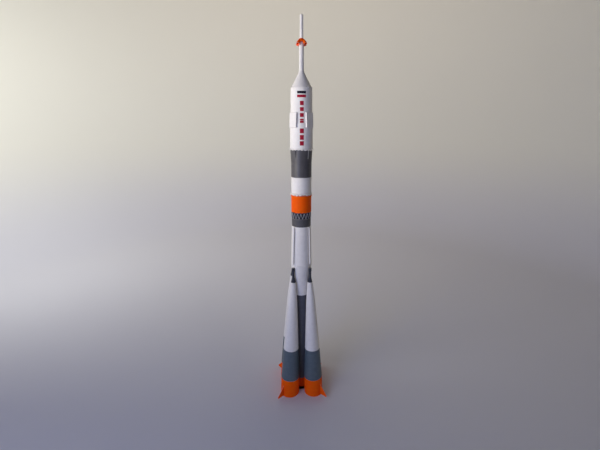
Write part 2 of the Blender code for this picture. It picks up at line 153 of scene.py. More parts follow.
@dataclass(frozen=True)
class PrintedCard:
    """Matt inkjet card of 250 grams, printed on one side and rolled by hand.

    The ink soaks into the coating, so the colour is soft and slightly cloudy. The print head
    leaves faint bands, rolling leaves faint creases along the tube, and cut ends show white core.

    Attributes:
        name: The material's name.
        ink: Colour of the full ink, or of the bare coating on white card.
        thin_ink: Colour where the ink lies thinner.
        core: Colour of the card's cut ends.
        cloud: Share of thin ink where the cloudy pattern is strongest.
        band: Darkening in the bands of the print head.
        roughness: Roughness of the printed side.
        sheen: Strength of its reflection, 0.5 for a closed coating and less for one with open pores.
    """

    name: str
    ink: str
    thin_ink: str
    core: str = "EFECE6"
    cloud: float = 0.6
    band: float = 0.06
    roughness: float = 0.58
    sheen: float = 0.3

    # Sizes in millimetres, of a band and a crease as width and height on the sheet. Real paper
    # fibres are near 0.05, too fine to show, so they are drawn ten times coarser
    FIBRE = 0.5
    CLOUD = 7.0
    BAND = (60.0, 1.6)
    CREASE = (3.2, 80.0)
    FIBRE_RISE = 0.05
    CREASE_RISE = 0.25
    # How far the roughness strays either way with the cloudy pattern
    SMOOTHER, ROUGHER = 0.06, 0.08

    def material(self) -> bpy.types.Material:
        """Build the card's node material.

        Returns:
            The material, patterned on object coordinates and on the sheet's own map.
        """
        material = bpy.data.materials.new(self.name)
        material.use_nodes = True
        tree = material.node_tree
        place = add_node(tree, "ShaderNodeTexCoord").outputs["Object"]
        sheet = add_node(tree, "ShaderNodeUVMap", uv_map=PAPER_MAP).outputs["UV"]
        bare = add_node(tree, "ShaderNodeAttribute", attribute_name=BARE_EDGE).outputs["Fac"]

        fibre = add_node(tree, "ShaderNodeTexNoise", {
            "Vector": place, "Scale": per_mm(self.FIBRE), "Detail": 3.0, "Roughness": 0.6,
        }).outputs["Fac"]
        cloud = add_node(tree, "ShaderNodeTexNoise", {
            "Vector": place, "Scale": per_mm(self.CLOUD), "Detail": 5.0, "Roughness": 0.62,
        }).outputs["Fac"]
        band_places, crease_places = (
            add_node(tree, "ShaderNodeMapping", {
                "Vector": sheet, "Scale": (per_mm(width), per_mm(height), 1.0),
            }).outputs["Vector"]
            for width, height in (self.BAND, self.CREASE)
        )
        band = add_node(tree, "ShaderNodeTexNoise", {
            "Vector": band_places, "Scale": 1.0, "Detail": 2.0,
        }).outputs["Fac"]
        crease = add_node(tree, "ShaderNodeTexNoise", {
            "Vector": crease_places, "Scale": 1.0, "Detail": 2.0, "Roughness": 0.45,
        }).outputs["Fac"]

        thinness = add_node(tree, "ShaderNodeMapRange", {
            "Value": cloud, "From Min": 0.36, "From Max": 0.66, "To Min": 0.0, "To Max": self.cloud,
        }).outputs["Result"]
        printed = add_node(tree, "ShaderNodeMix", {
            "Factor": thinness, FIRST_COLOUR: linear(self.ink), SECOND_COLOUR: linear(self.thin_ink),
        }, data_type="RGBA").outputs[MIXED_COLOUR]
        shade = add_node(tree, "ShaderNodeMapRange", {
            "Value": band, "From Min": 0.3, "From Max": 0.7, "To Min": 1.0 - self.band, "To Max": 1.0,
        }).outputs["Result"]
        banded = add_node(tree, "ShaderNodeMix", {
            "Factor": 1.0, FIRST_COLOUR: printed, SECOND_COLOUR: shade,
        }, data_type="RGBA", blend_type="MULTIPLY").outputs[MIXED_COLOUR]
        speckle = add_node(tree, "ShaderNodeMapRange", {
            "Value": fibre, "From Min": 0.25, "From Max": 0.75, "To Min": 0.96, "To Max": 1.0,
        }).outputs["Result"]
        speckled = add_node(tree, "ShaderNodeMix", {
            "Factor": 1.0, FIRST_COLOUR: banded, SECOND_COLOUR: speckle,
        }, data_type="RGBA", blend_type="MULTIPLY").outputs[MIXED_COLOUR]
        coloured = add_node(tree, "ShaderNodeMix", {
            "Factor": bare, FIRST_COLOUR: speckled, SECOND_COLOUR: linear(self.core),
        }, data_type="RGBA").outputs[MIXED_COLOUR]

        roughness = add_node(tree, "ShaderNodeMapRange", {
            "Value": cloud, "From Min": 0.3, "From Max": 0.7,
            "To Min": self.roughness - self.SMOOTHER, "To Max": self.roughness + self.ROUGHER,
        }).outputs["Result"]
        creased = add_node(tree, "ShaderNodeBump", {
            "Height": crease, "Strength": 0.35, "Distance": self.CREASE_RISE * MM,
        }).outputs["Normal"]
        rough = add_node(tree, "ShaderNodeBump", {
            "Height": fibre, "Strength": 0.3, "Distance": self.FIBRE_RISE * MM, "Normal": creased,
        }).outputs["Normal"]

        shader = tree.nodes["Principled BSDF"]
        shader.inputs["Metallic"].default_value = 0.0
        shader.inputs["IOR"].default_value = 1.46
        shader.inputs["Specular IOR Level"].default_value = self.sheen
        tree.links.new(coloured, shader.inputs["Base Color"])
        tree.links.new(roughness, shader.inputs["Roughness"])
        tree.links.new(rough, shader.inputs["Normal"])
        return material


CARDS = {
    Slot.WHITE: PrintedCard(
        "matt_white_card", "EFEBE6", "E6E1DC", core="F4F1EC", cloud=0.7, band=0.02, roughness=0.55),
    Slot.ORANGE: PrintedCard("orange_printed_card", "FF5A00", "FF6E02", roughness=0.6, sheen=0.12),
    Slot.DARK_GREY: PrintedCard("dark_grey_printed_card", "4F4D4F", "5B595B", roughness=0.42, sheen=0.5),
    Slot.BLUE_GREY: PrintedCard("blue_grey_printed_card", "58656D", "647179", roughness=0.46, sheen=0.45),
    Slot.NAVY: PrintedCard("navy_printed_card", "33353F", "474953"),
    Slot.STRUT_GREY: PrintedCard("strut_grey_printed_card", "96949A", "A8A6AC"),
}
# The drum's card is darker than its slot's usual one, as painted shade for its recess behind the struts, and
# the core tube's is greyer
DRUM_PAINTED_SHADE_CARD = PrintedCard("near_black_printed_card", "2E2C30", "3C3A3E")
CORE_CARD = PrintedCard("charcoal_printed_card", "595A61", "65666D")
DARK_RED_INK = PrintedCard("dark_red_ink_on_card", "A00828", "B41C3C", cloud=0.5)
NAVY_INK = PrintedCard("navy_ink_on_card", "1C1826", "2A2634", cloud=0.5)
OTHER_CARDS = (DRUM_PAINTED_SHADE_CARD, CORE_CARD, DARK_RED_INK, NAVY_INK)


# Surfaces


def wave_noise(angles: Array, amplitude: float, span: tuple[int, int], seed: int) -> Array:
    """Wander smoothly round a circle and meet again.

    A sum of cosines of whole-number frequencies, with sizes and phases from a seeded generator.

    Args:
        angles: Where to read it, in radians.
        amplitude: Its typical size.
        span: Lowest and highest frequency, in waves a turn.
        seed: The generator's seed.

    Returns:
        One value for each angle.
    """
    generator = np.random.default_rng(seed)
    waves = np.arange(span[0], span[1] + 1)
    sizes = generator.normal(size=waves.size) * math.sqrt(2 / waves.size)
    phases = generator.uniform(0, FULL_TURN, waves.size)
    return amplitude * (sizes * np.cos(np.multiply.outer(angles, waves) + phases)).sum(axis=-1)


def on_circle(radii: Array, angles: Array, heights: Array) -> Array:
    """Points at radii and angles about Z, as one array with x, y and z last."""
    radii, angles, heights = np.broadcast_arrays(radii, angles, heights)
    return np.stack([radii * np.cos(angles), radii * np.sin(angles), heights], axis=-1)


def across_line(points: Array, azimuth: float) -> Array:
    """Distance of points, along their own circles, from a line down at an azimuth."""
    angles = np.arctan2(points[:, 1], points[:, 0]) - math.radians(azimuth)
    return np.angle(np.exp(1j * angles)) * np.hypot(points[:, 0], points[:, 1])


def turned_z(degrees: float) -> Array:
    """Matrix that turns about Z."""
    cosine, sine = math.cos(math.radians(degrees)), math.sin(math.radians(degrees))
    return np.array([[cosine, -sine, 0, 0], [sine, cosine, 0, 0], [0, 0, 1, 0], [0, 0, 0, 1]])


def leaned_y(degrees: float) -> Array:
    """Matrix that leans about Y, its top towards +X for a positive angle."""
    cosine, sine = math.cos(math.radians(degrees)), math.sin(math.radians(degrees))
    return np.array([[cosine, 0, sine, 0], [0, 1, 0, 0], [-sine, 0, cosine, 0], [0, 0, 0, 1]])


def shifted(x: float, y: float, z: float) -> Array:
    """Matrix that shifts by x, y and z."""
    return np.array([[1, 0, 0, x], [0, 1, 0, y], [0, 0, 1, z], [0, 0, 0, 1.0]])


def grid_quads(rows: int, columns: int, strips: int) -> Array:
    """Join the points of a grid into quads.

    Args:
        rows: Number of rows.
        columns: Number of columns. The last one joins the first.
        strips: Number of strips between rows, as many as rows where the last one joins the first.

    Returns:
        The numbers of each quad's four corners.
    """
    row, column = np.arange(strips)[:, None], np.arange(columns)
    below, beside = (row + 1) % rows, (column + 1) % columns
    return np.stack([
        row * columns + column, below * columns + column,
        below * columns + beside, row * columns + beside,
    ], axis=-1).reshape(-1, 4)


def sheet_places(across: Array, down: Array | float) -> Array:
    """Places on the flat sheet, as one array with both coordinates last."""
    return np.stack(np.broadcast_arrays(across, down), axis=-1)


def shares_at(count: int, shares: dict[int, float] | None) -> Array:
    """Make a row of zeros and put the given shares into it.

    Args:
        count: Length of the row.
        shares: Each share by its place in the row, from the end if negative.

    Returns:
        The row.
    """
    row = np.zeros(count)
    for number, share in (shares or {}).items():
        row[number] = share
    return row


@dataclass
class Skin:
    """A closed surface of card as arrays.

    Attributes:
        points: Points in millimetres.
        quads: Faces of four corners, as numbers of points.
        triangles: Faces of three corners.
        quad_paper: Place of each quad's corners on the flat sheet, in millimetres.
        triangle_paper: Place of each triangle's corners on it.
        quad_bare: How far each quad shows bare core, 0 to 1.
        triangle_bare: The same for each triangle.
    """

    points: Array
    quads: Array
    triangles: Array
    quad_paper: Array
    triangle_paper: Array
    quad_bare: Array
    triangle_bare: Array

    @classmethod
    def from_grid(
        cls,
        grid: Array,
        closing: Closing = Closing.CAPS,
        bare_rows: dict[int, float] | None = None,
        bare_columns: dict[int, float] | None = None,
        bare_caps: float = 0.0,
    ) -> "Skin":
        """Close a grid of points into a surface.

        Rows follow each other down the outside, and columns run anticlockwise seen from above and
        meet again. The map's coordinates are the summed distances between rows and columns.

        Args:
            grid: Points by row and column.
            closing: Whether the ends are capped or the last row meets the first.
            bare_rows: Bare share of the strip below a row, by its number, from the end if negative.
            bare_columns: Bare share of the strip after a column.
            bare_caps: Bare share of both caps.

        Returns:
            The closed surface.
        """
        rows, columns = grid.shape[:2]
        down = np.linalg.norm(np.diff(grid, axis=0, append=grid[:1]), axis=2).max(axis=1)
        across = np.linalg.norm(np.diff(grid, axis=1, append=grid[:, :1]), axis=2).max(axis=0)
        along = np.concatenate(([0.0], np.cumsum(down)))
        around = np.concatenate(([0.0], np.cumsum(across)))
        strips = rows if closing is Closing.RING else rows - 1
        left, right = around[:-1], around[1:]
        upper, lower = along[:strips, None], along[1:strips + 1, None]
        quad_paper = np.stack([
            sheet_places(left, upper), sheet_places(left, lower),
            sheet_places(right, lower), sheet_places(right, upper),
        ], axis=2).reshape(-1, 4, 2)
        quad_bare = np.maximum.outer(shares_at(strips, bare_rows), shares_at(columns, bare_columns))
        points = grid.reshape(-1, 3)
        triangles, triangle_paper = np.zeros((0, 3), int), np.zeros((0, 3, 2))
        if closing is Closing.CAPS:
            first = np.arange(columns)
            after = (first + 1) % columns
            last = (rows - 1) * columns
            top, foot = np.full(columns, rows * columns), np.full(columns, rows * columns + 1)
            triangles = np.concatenate([
                np.stack([top, first, after], axis=-1),
                np.stack([last + first, foot, last + after], axis=-1),
            ])
            ends = grid[[0, -1]]
            reach = np.linalg.norm(ends - ends.mean(axis=1, keepdims=True), axis=2).max()
            middle, length = (left + right) / 2, along[strips]
            triangle_paper = np.concatenate([
                np.stack([
                    sheet_places(middle, -reach), sheet_places(left, 0.0), sheet_places(right, 0.0),
                ], axis=1),
                np.stack([
                    sheet_places(left, length), sheet_places(middle, length + reach),
                    sheet_places(right, length),
                ], axis=1),
            ])
            points = np.concatenate([points, ends.mean(axis=1)])
        return cls(
            points, grid_quads(rows, columns, strips), triangles, quad_paper, triangle_paper,
            quad_bare.reshape(-1), np.full(len(triangles), bare_caps),
        )

    @classmethod
    def joined(cls, skins: list["Skin"]) -> "Skin":
        """Put several surfaces into one piece.

        Args:
            skins: The surfaces.

        Returns:
            One surface with all their points and faces.
        """
        starts = np.cumsum([0] + [len(skin.points) for skin in skins[:-1]])
        numbered = [
            replace(skin, quads=skin.quads + start, triangles=skin.triangles + start)
            for skin, start in zip(skins, starts)
        ]
        return cls(*(
            np.concatenate([getattr(skin, field.name) for skin in numbered]) for field in fields(cls)
        ))

    def pressed(self, azimuth: float, width: float, depth: float, end: float, reach: float) -> "Skin":
        """Press the surface in or out along a line down its side.

        The radius gains the depth times a bell curve of the distance across the line, times the
        square root of the share of the reach that is left, which is one at the end.

        Args:
            azimuth: Where the line runs.
            width: Half its width.
            depth: How far it is pressed out, or in if negative.
            end: Height where it is deepest.
            reach: Length over which it fades.

        Returns:
            The pressed surface.
        """
        radii = np.hypot(self.points[:, 0], self.points[:, 1])
        fade = np.sqrt(np.clip(1 - np.abs(end - self.points[:, 2]) / reach, 0, 1))
        gain = depth * np.exp(-(across_line(self.points, azimuth) / width) ** 2) * fade
        points = self.points.copy()
        points[:, :2] *= (1 + gain / np.maximum(radii, 1.0))[:, None]
        return replace(self, points=points)

    def bared(self, azimuth: float, width: float, low: float, share: float) -> "Skin":
        """Show bare core along a line down the surface's side.

        Args:
            azimuth: Where the line runs.
            width: Its width.
            low: Height where it ends.
            share: How far it shows, 0 to 1.

        Returns:
            The surface with the quads bared whose middles lie on the line.
        """
        middles = self.points[self.quads].mean(axis=1)
        on_line = (np.abs(across_line(middles, azimuth)) < width / 2) & (middles[:, 2] > low)
        return replace(self, quad_bare=np.maximum(self.quad_bare, share * on_line))

    def moved(self, matrix: Array) -> "Skin":
        """The same surface with its points moved by a matrix."""
        return replace(self, points=self.points @ matrix[:3, :3].T + matrix[:3, 3])

    def mesh(self, name: str) -> bpy.types.Mesh:
        """Make the Blender mesh, in metres.

        Args:
            name: The mesh's name.

        Returns:
            The mesh with its paper map, its bare faces and its folds kept sharp.
        """
        mesh = bpy.data.meshes.new(name)
        faces = self.quads.tolist() + self.triangles.tolist()
        mesh.from_pydata((self.points * MM).tolist(), [], faces)
        paper = mesh.uv_layers.new(name=PAPER_MAP)
        places = np.concatenate([self.quad_paper.reshape(-1), self.triangle_paper.reshape(-1)])
        paper.data.foreach_set("uv", (places * MM).astype(np.float32))
        bare = mesh.attributes.new(BARE_EDGE, "FLOAT", "FACE")
        shares = np.concatenate([self.quad_bare, self.triangle_bare])
        bare.data.foreach_set("value", shares.astype(np.float32))
        mesh.shade_smooth()
        mesh.set_sharp_from_angle(angle=FOLD_ANGLE)
        return mesh


@dataclass(frozen=True)
class Roll:
    """How a sheet of card is rolled up.

    Attributes:
        columns: Number of points round it.
        lap_azimuth: Where the sheet's end laps over its start.
        lap_step: Height of the step at the lap.
        wobble: How far the tube strays from round.
        seed: Seed of the wobble and of the ripples of its cut ends.
    """

    columns: int
    lap_azimuth: float
    lap_step: float
    wobble: float
    seed: int

    def angles(self) -> Array:
        """Angles of the columns, even from the lap, with one more just before it."""
        turns = np.append(np.arange(self.columns) / self.columns, 1 - LAP_EDGE_TURN)
        return math.radians(self.lap_azimuth) + FULL_TURN * turns

    def radius_change(self, angles: Array) -> Array:
        """Wind in towards the lap by its step over one turn, and wobble a little.

        Args:
            angles: Angles in radians.

        Returns:
            What the radius gains at each angle.
        """
        turns = np.mod((angles - math.radians(self.lap_azimuth)) / FULL_TURN, 1.0)
        return self.lap_step * (turns - 1.0) + wave_noise(angles, self.wobble, WOBBLE_WAVES, self.seed)

    def ripple(self, angles: Array, amplitude: float, seed: int) -> Array:
        """Ripple of a cut end at each angle, with a seed counted from the roll's own."""
        return wave_noise(angles, amplitude, RIPPLE_WAVES, self.seed + seed)


@dataclass(frozen=True)
class Ends:
    """How the two ends of a rolled sheet are cut.

    Attributes:
        ripple_top: How far the top end's cut strays up and down.
        ripple_foot: The same at the foot.
        flare_top: How far the top end is spread outwards.
        flare_foot: The same at the foot.
        reach: Length over which ripple and flare die away.
        bare: How far the ends show bare core.
        neck: How far the neck inside the top end stands up, or sinks if negative.
    """

    ripple_top: float = 0.06
    ripple_foot: float = 0.06
    flare_top: float = 0.0
    flare_foot: float = 0.0
    reach: float = 1.2
    bare: float = 0.6
    neck: float = 0.35


PLAIN_ENDS = Ends()


def dense_outline(outline: Array, pitch: float) -> Array:
    """Add points along the straights of an outline.

    Args:
        outline: Pairs of height and radius, from the top down.
        pitch: Longest distance between two points.

    Returns:
        The pairs with even steps between the given ones.
    """
    lengths = np.linalg.norm(np.diff(outline, axis=0), axis=1)
    steps = np.maximum(1, np.ceil(lengths / pitch).astype(int))
    parts = [
        start + (end - start) * (np.arange(count) / count)[:, None]
        for start, end, count in zip(outline[:-1], outline[1:], steps)
    ]
    return np.concatenate([*parts, outline[-1:]])


def rolled_skin(outline: Array, roll: Roll, ends: Ends = PLAIN_ENDS, pitch: float = 4.0) -> Skin:
    """Roll a sheet of card into a closed tube or cone about Z.

    Radius is the outline's radius plus the roll's change at that angle plus the flare near an end.
    Height is the outline's height plus the ripple of the cut near an end. Flare and ripple die
    away as the exponential of minus the distance from the end. The ends turn in over a soft corner
    to the card's thickness. Inside the top end a narrower neck stands up into the section above,
    or sinks as the hollow of an open tube.

    Args:
        outline: Pairs of height and radius, from the top down.
        roll: How the sheet is rolled.
        ends: How its ends are cut.
        pitch: Longest distance between two rows.

    Returns:
        The closed surface.
    """
    outline = np.asarray(outline, float)
    (top, top_radius), (foot, foot_radius) = outline[0], outline[-1]
    side = outline.copy()
    side[0, 0] -= SOFT_CORNER
    side[-1, 0] += SOFT_CORNER
    neck = top_radius - CARD
    rows = np.concatenate([
        [(top + ends.neck, neck), (top, neck), (top, top_radius - SOFT_CORNER)],
        dense_outline(side, pitch),
        [(foot, foot_radius - SOFT_CORNER), (foot, foot_radius - CARD)],
    ])
    heights, radii = rows[:, :1], rows[:, 1:]
    angles = roll.angles()
    near_top = np.exp(-np.abs(top - heights) / ends.reach)
    near_foot = np.exp(-np.abs(heights - foot) / ends.reach)
    ripple = near_top * roll.ripple(angles, ends.ripple_top, TOP_SEED)
    ripple = ripple + near_foot * roll.ripple(angles, ends.ripple_foot, FOOT_SEED)
    flare = near_top * ends.flare_top + near_foot * ends.flare_foot
    radius = radii + roll.radius_change(angles) + flare
    return Skin.from_grid(
        on_circle(radius, angles, heights + ripple),
        bare_rows={1: ends.bare, 2: ends.bare, -2: ends.bare, -1: ends.bare},
        bare_columns={-1: ends.bare},
    )


# A nozzle bell's wall, with its largest share of the mouth's radius, and the throat's share of that
BELL_WALL = 0.4
BELL_WALL_SHARE = 0.2
BELL_THROAT_SHARE = 0.45
# The power that the bell opens with, where its roof lies as a share of the way down, and its points
BELL_POWER = 0.7
BELL_ROOF_SHARE = 0.34
BELL_OUTER_ROWS, BELL_INNER_ROWS, BELL_COLUMNS = 9, 6, 32
BELL_RIM_BARE = 0.8


def bell_skin(mouth: float, length: float) -> Skin:
    """Turn a hollow nozzle bell that hangs from height zero.

    The outer radius opens from the throat to the mouth as a power of the way down. The inner side
    follows it a wall's thickness inside, up to the roof. Small bells have a thinner wall.

    Args:
        mouth: Radius of the mouth.
        length: Height of the bell.

    Returns:
        The closed bell.
    """
    way = np.concatenate([
        np.linspace(0, 1, BELL_OUTER_ROWS), np.linspace(1, BELL_ROOF_SHARE, BELL_INNER_ROWS),
    ])
    throat = mouth * BELL_THROAT_SHARE
    radii = throat + (mouth - throat) * way ** BELL_POWER
    radii[BELL_OUTER_ROWS:] -= min(BELL_WALL, mouth * BELL_WALL_SHARE)
    angles = np.arange(BELL_COLUMNS) * FULL_TURN / BELL_COLUMNS
    grid = on_circle(radii[:, None], angles, -length * way[:, None])
    return Skin.from_grid(grid, bare_rows={BELL_OUTER_ROWS - 1: BELL_RIM_BARE})


def slab_skin(front: Array, back: Array, bare: float) -> Skin:
    """Close two facing sheets into a flat slab.

    Each row runs along the front sheet and returns along the back one, so that its ends become
    the two side edges and the first and last rows become the top and foot edges.

    Args:
        front: Points of the front sheet by row and column.
        back: Points of the back sheet, facing them.
        bare: How far the four edges show bare core.

    Returns:
        The closed slab.
    """
    columns = front.shape[1]
    grid = np.concatenate([front, back[:, ::-1]], axis=1)
    return Skin.from_grid(grid, bare_columns={columns - 1: bare, -1: bare}, bare_caps=bare)


def cad_outline(node: str) -> Array:
    """Read a turned CAD node's outline from its points.

    Args:
        node: The node's name.

    Returns:
        Pairs of height and radius in millimetres, from the top down.
    """
    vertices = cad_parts[node].data.vertices
    points = np.empty(len(vertices) * 3, np.float32)
    vertices.foreach_get("co", points)
    points = points.reshape(-1, 3) / MM
    radii = np.hypot(points[:, 0], points[:, 1])
    heights = np.round(points[:, 2], 2)
    levels = np.unique(heights[radii > NEAR_AXIS])[::-1]
    return np.array([(level, radii[heights == level].max()) for level in levels])


# Finishing pieces


class Bench:
    """Where a surface becomes a finished piece that rides on the model."""

    def __init__(self) -> None:
        """Mix the materials of the cards and inks."""
        self.materials = {card: card.material() for card in (*CARDS.values(), *OTHER_CARDS)}

    def finish(self, node: str, skin: Skin, slot: Slot, card: PrintedCard | None = None) -> None:
        """Dress a surface in its card and let it stand for a CAD node.

        Args:
            node: The CAD node, which gives the piece its name.
            skin: The surface.
            slot: The record's slot of its card.
            card: The card itself, if it isn't the slot's usual one.
        """
        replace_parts(self.placed(f"{node}_card", skin, card or CARDS[slot]), node)

    def placed(self, name: str, skin: Skin, card: PrintedCard) -> bpy.types.Object:
        """Make the piece's object, give it its material and let it ride on the model.

        Args:
            name: The piece's name.
            skin: Its surface.
            card: The card or ink that it shows.

        Returns:
            The object, at the origin.
        """
        mesh = skin.mesh(name)
        mesh.materials.append(self.materials[card])
        piece = bpy.data.objects.new(name, mesh)
        bpy.context.scene.collection.objects.link(piece)
        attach(piece, ROOT)
        log.info("%s: %d faces", name, len(mesh.polygons))
        return piece


@dataclass(frozen=True)
class Section:
    """A rolled section that stands for the CAD node of the same name.

    Attributes:
        node: The CAD node.
        slot: Its card.
        roll: How it is rolled.
        ends: How its ends are cut.
        card: Its own card, if it isn't the slot's usual one.
    """

    node: str
    slot: Slot
    roll: Roll
    ends: Ends = PLAIN_ENDS
    card: PrintedCard | None = None

    def build(self, bench: Bench) -> None:
        """Roll the section on the CAD node's own outline."""
        skin = rolled_skin(cad_outline(self.node), self.roll, self.ends)
        bench.finish(self.node, skin, self.slot, self.card)


@dataclass(frozen=True)
class RaggedRim:
    """A flared ring of glue tabs that were cut by hand.

    Attributes:
        node: The CAD node that it stands for.
        slot: Its card.
        tabs: Number of tabs.
        top: Height where the tabs start.
        start_radius: Radius there.
        length: Length of a whole tab.
        shortest: Share of it that is left between two tabs.
        slant: How far the tabs lean out from the vertical.
        slant_spread: How much that differs from tab to tab.
        seed: Seed of the differences.
        twist: How far a tab's one side stands out and its other side in, at most.
    """

    node: str
    slot: Slot
    tabs: int
    top: float
    start_radius: float
    length: float
    shortest: float
    slant: float
    slant_spread: float
    seed: int
    twist: float = 0.8

    COLUMNS_A_TAB = 14
    ROWS = 5
    TAB_SHARES = (0.55, 1.1)
    GLUE_EDGE = 1.2

    def build(self, bench: Bench) -> None:
        """Cut, bend and finish the ring.

        A tab's length is the shortest share between tabs and rises to its own full length in the
        middle, as the cube root of the sine of the way across it. Every point of the outer side
        lies down the tab's own slant, further out on one side of the tab than on the other by its
        twist, and the inner side lies one card thickness behind it.

        Args:
            bench: The bench that finishes its pieces.
        """
        columns = self.tabs * self.COLUMNS_A_TAB
        turns = np.arange(columns) / columns
        angles = turns * FULL_TURN
        tab = np.floor(turns * self.tabs).astype(int)
        across = np.mod(turns * self.tabs, 1.0)
        generator = np.random.default_rng(self.seed)
        own_length = self.length * generator.uniform(*self.TAB_SHARES, self.tabs)[tab]
        own_slant = self.slant + self.slant_spread * generator.uniform(-1, 1, self.tabs)[tab]
        own_twist = self.twist * generator.uniform(-1, 1, self.tabs)[tab]
        between = np.sin(math.pi * across) ** (1 / 3)
        shortest = self.length * self.shortest
        length = shortest + (own_length - shortest) * between
        slant = np.radians(own_slant * between + self.slant * (1 - between))
        way = np.linspace(0, 1, self.ROWS)[:, None]
        twisted = own_twist * (2 * across - 1) * between
        outer_radius = self.start_radius + way * (length * np.sin(slant) + twisted)
        outer_height = self.top - way * length * np.cos(slant)
        inner_radius = outer_radius - CARD * np.cos(slant)
        inner_height = outer_height - CARD * np.sin(slant)
        glued_radius = self.start_radius - self.GLUE_EDGE
        grid = np.concatenate([
            on_circle(glued_radius, angles, self.top)[None],
            on_circle(outer_radius, angles, outer_height),
            on_circle(inner_radius[::-1], angles, inner_height[::-1]),
            on_circle(glued_radius - CARD, angles, self.top - CARD / 2)[None],
        ])
        skin = Skin.from_grid(grid, Closing.RING, bare_rows={self.ROWS: 1.0})
        bench.finish(self.node, skin, self.slot)


@dataclass(frozen=True)
class EscapeTower:
    """The slim tower on top, with its crown of small bells.

    Attributes:
        sections: Its rolled rods and tube.
        hub_outline: Height and radius of the crown's hub, from the top down.
        hub_roll: How the hub is rolled.
        bell_mouth: Radius of a bell's mouth.
        bell_length: Length of a bell.
        bell_start: Radius and height where a bell starts.
        bell_tilt: How far a bell turns outwards.
    """

    sections: tuple[Section, ...] = (
        Section("escape_spire_tip", Slot.WHITE, Roll(48, 100.0, 0.10, 0.02, 11), Ends(0.0, 0.03, neck=-2.0)),
        Section("escape_spire_rod", Slot.WHITE, Roll(48, 80.0, 0.10, 0.02, 12)),
        Section("escape_tube", Slot.WHITE, Roll(64, 95.0, 0.14, 0.03, 13)),
    )
    hub_outline: Pairs = (
        (654.0, 3.4), (653.6, 3.9), (652.4, 4.9), (650.9, 5.8), (649.5, 6.3), (649.0, 6.3),
    )
    hub_roll: Roll = Roll(64, 90.0, 0.1, 0.02, 14)
    bell_mouth: float = 3.0
    bell_length: float = 7.0
    bell_start: tuple[float, float] = (5.0, 651.4)
    bell_tilt: float = 30.0

    def build(self, bench: Bench) -> None:
        """Build the rods, the tube and the crown.

        Args:
            bench: The bench that finishes its pieces.
        """
        for section in self.sections:
            section.build(bench)
        radius, height = self.bell_start
        bell = bell_skin(self.bell_mouth, self.bell_length)
        bells = [
            bell.moved(turned_z(azimuth) @ shifted(radius, 0, height) @ leaned_y(-self.bell_tilt))
            for azimuth in QUARTERS
        ]
        hub = rolled_skin(np.array(self.hub_outline), self.hub_roll, Ends(bare=0.3), pitch=1.0)
        bench.finish("escape_crown", Skin.joined([hub, *bells]), Slot.ORANGE)


@dataclass(frozen=True)
class Fairing:
    """The white fairing with its nose cone, tubes, foot rim, grid fins and printed marks.

    Attributes:
        nose_top: Top of the nose cone.
        nose_foot: Its foot.
        tube_radius: Radius of the escape tube that it runs into.
        cone_start: Height where the cone would meet the tube without the soft hollow.
        cone_slope: Radius that the cone gains for each millimetre down.
        hollow: Softness of the hollow between tube and cone.
        nose_roll: How the nose cone is rolled.
        dent_azimuths: Where a thumb pressed its foot out.
        dent: Half the width, the depth and the length of such a spot.
        nose_rows: Number of rows of points down the nose cone.
        upper_roll: How the upper tube is rolled.
        lower: The lower tube.
        rim: The ragged rim of its foot.
    """

    nose_top: float = 608.0
    nose_foot: float = 581.0
    tube_radius: float = 3.9
    cone_start: float = 605.9
    cone_slope: float = 0.558
    hollow: float = 2.0
    nose_roll: Roll = Roll(240, 60.0, 0.18, 0.03, 20)
    dent_azimuths: tuple[float, float] = (FRONT + 38.0, FRONT + 72.0)
    dent: tuple[float, float, float] = (0.8, 1.2, 2.4)
    nose_rows: int = 28
    upper_roll: Roll = Roll(160, 75.0, 0.2, 0.03, 21)
    lower: Section = Section(
        "fairing_lower", Slot.WHITE, Roll(160, 110.0, 0.2, 0.04, 22), Ends(0.08, 0.15, flare_top=0.05))
    rim: RaggedRim = RaggedRim("fairing_foot_rim", Slot.WHITE, 22, 485.2, 19.8, 3.9, 0.25, 28.0, 20.0, 23)

    def build(self, bench: Bench) -> None:
        """Build all its pieces.

        Args:
            bench: The bench that finishes its pieces.
        """
        self.build_nose(bench)
        skin = rolled_skin(cad_outline("fairing_upper"), self.upper_roll, Ends(0.06, 0.1, 0.06, 0.05))
        bench.finish("fairing_upper", skin, Slot.WHITE)
        self.lower.build(bench)
        self.rim.build(bench)
        FairingMarks(self.upper_roll, self.lower.roll).build(bench)
        for number, azimuth in enumerate(QUARTERS, start=1):
            GridFin(number, azimuth).build(bench)

    def build_nose(self, bench: Bench) -> None:
        """Roll the nose cone.

        Its radius is the tube's plus the slope times the soft maximum of zero and the distance
        below the cone's start: the hollow times the logarithm of one plus the exponential.

        Args:
            bench: The bench that finishes its pieces.
        """
        heights = np.linspace(self.nose_top, self.nose_foot, self.nose_rows)
        below = (self.cone_start - heights) / self.hollow
        radii = self.tube_radius + self.cone_slope * self.hollow * np.log1p(np.exp(below))
        outline = np.stack([heights, radii], axis=-1)
        skin = rolled_skin(outline, self.nose_roll, Ends(0.04, 0.08))
        width, depth, reach = self.dent
        for azimuth in self.dent_azimuths:
            skin = skin.pressed(azimuth, width, depth, self.nose_foot, reach)
        bench.finish("nose_cone", skin, Slot.WHITE)


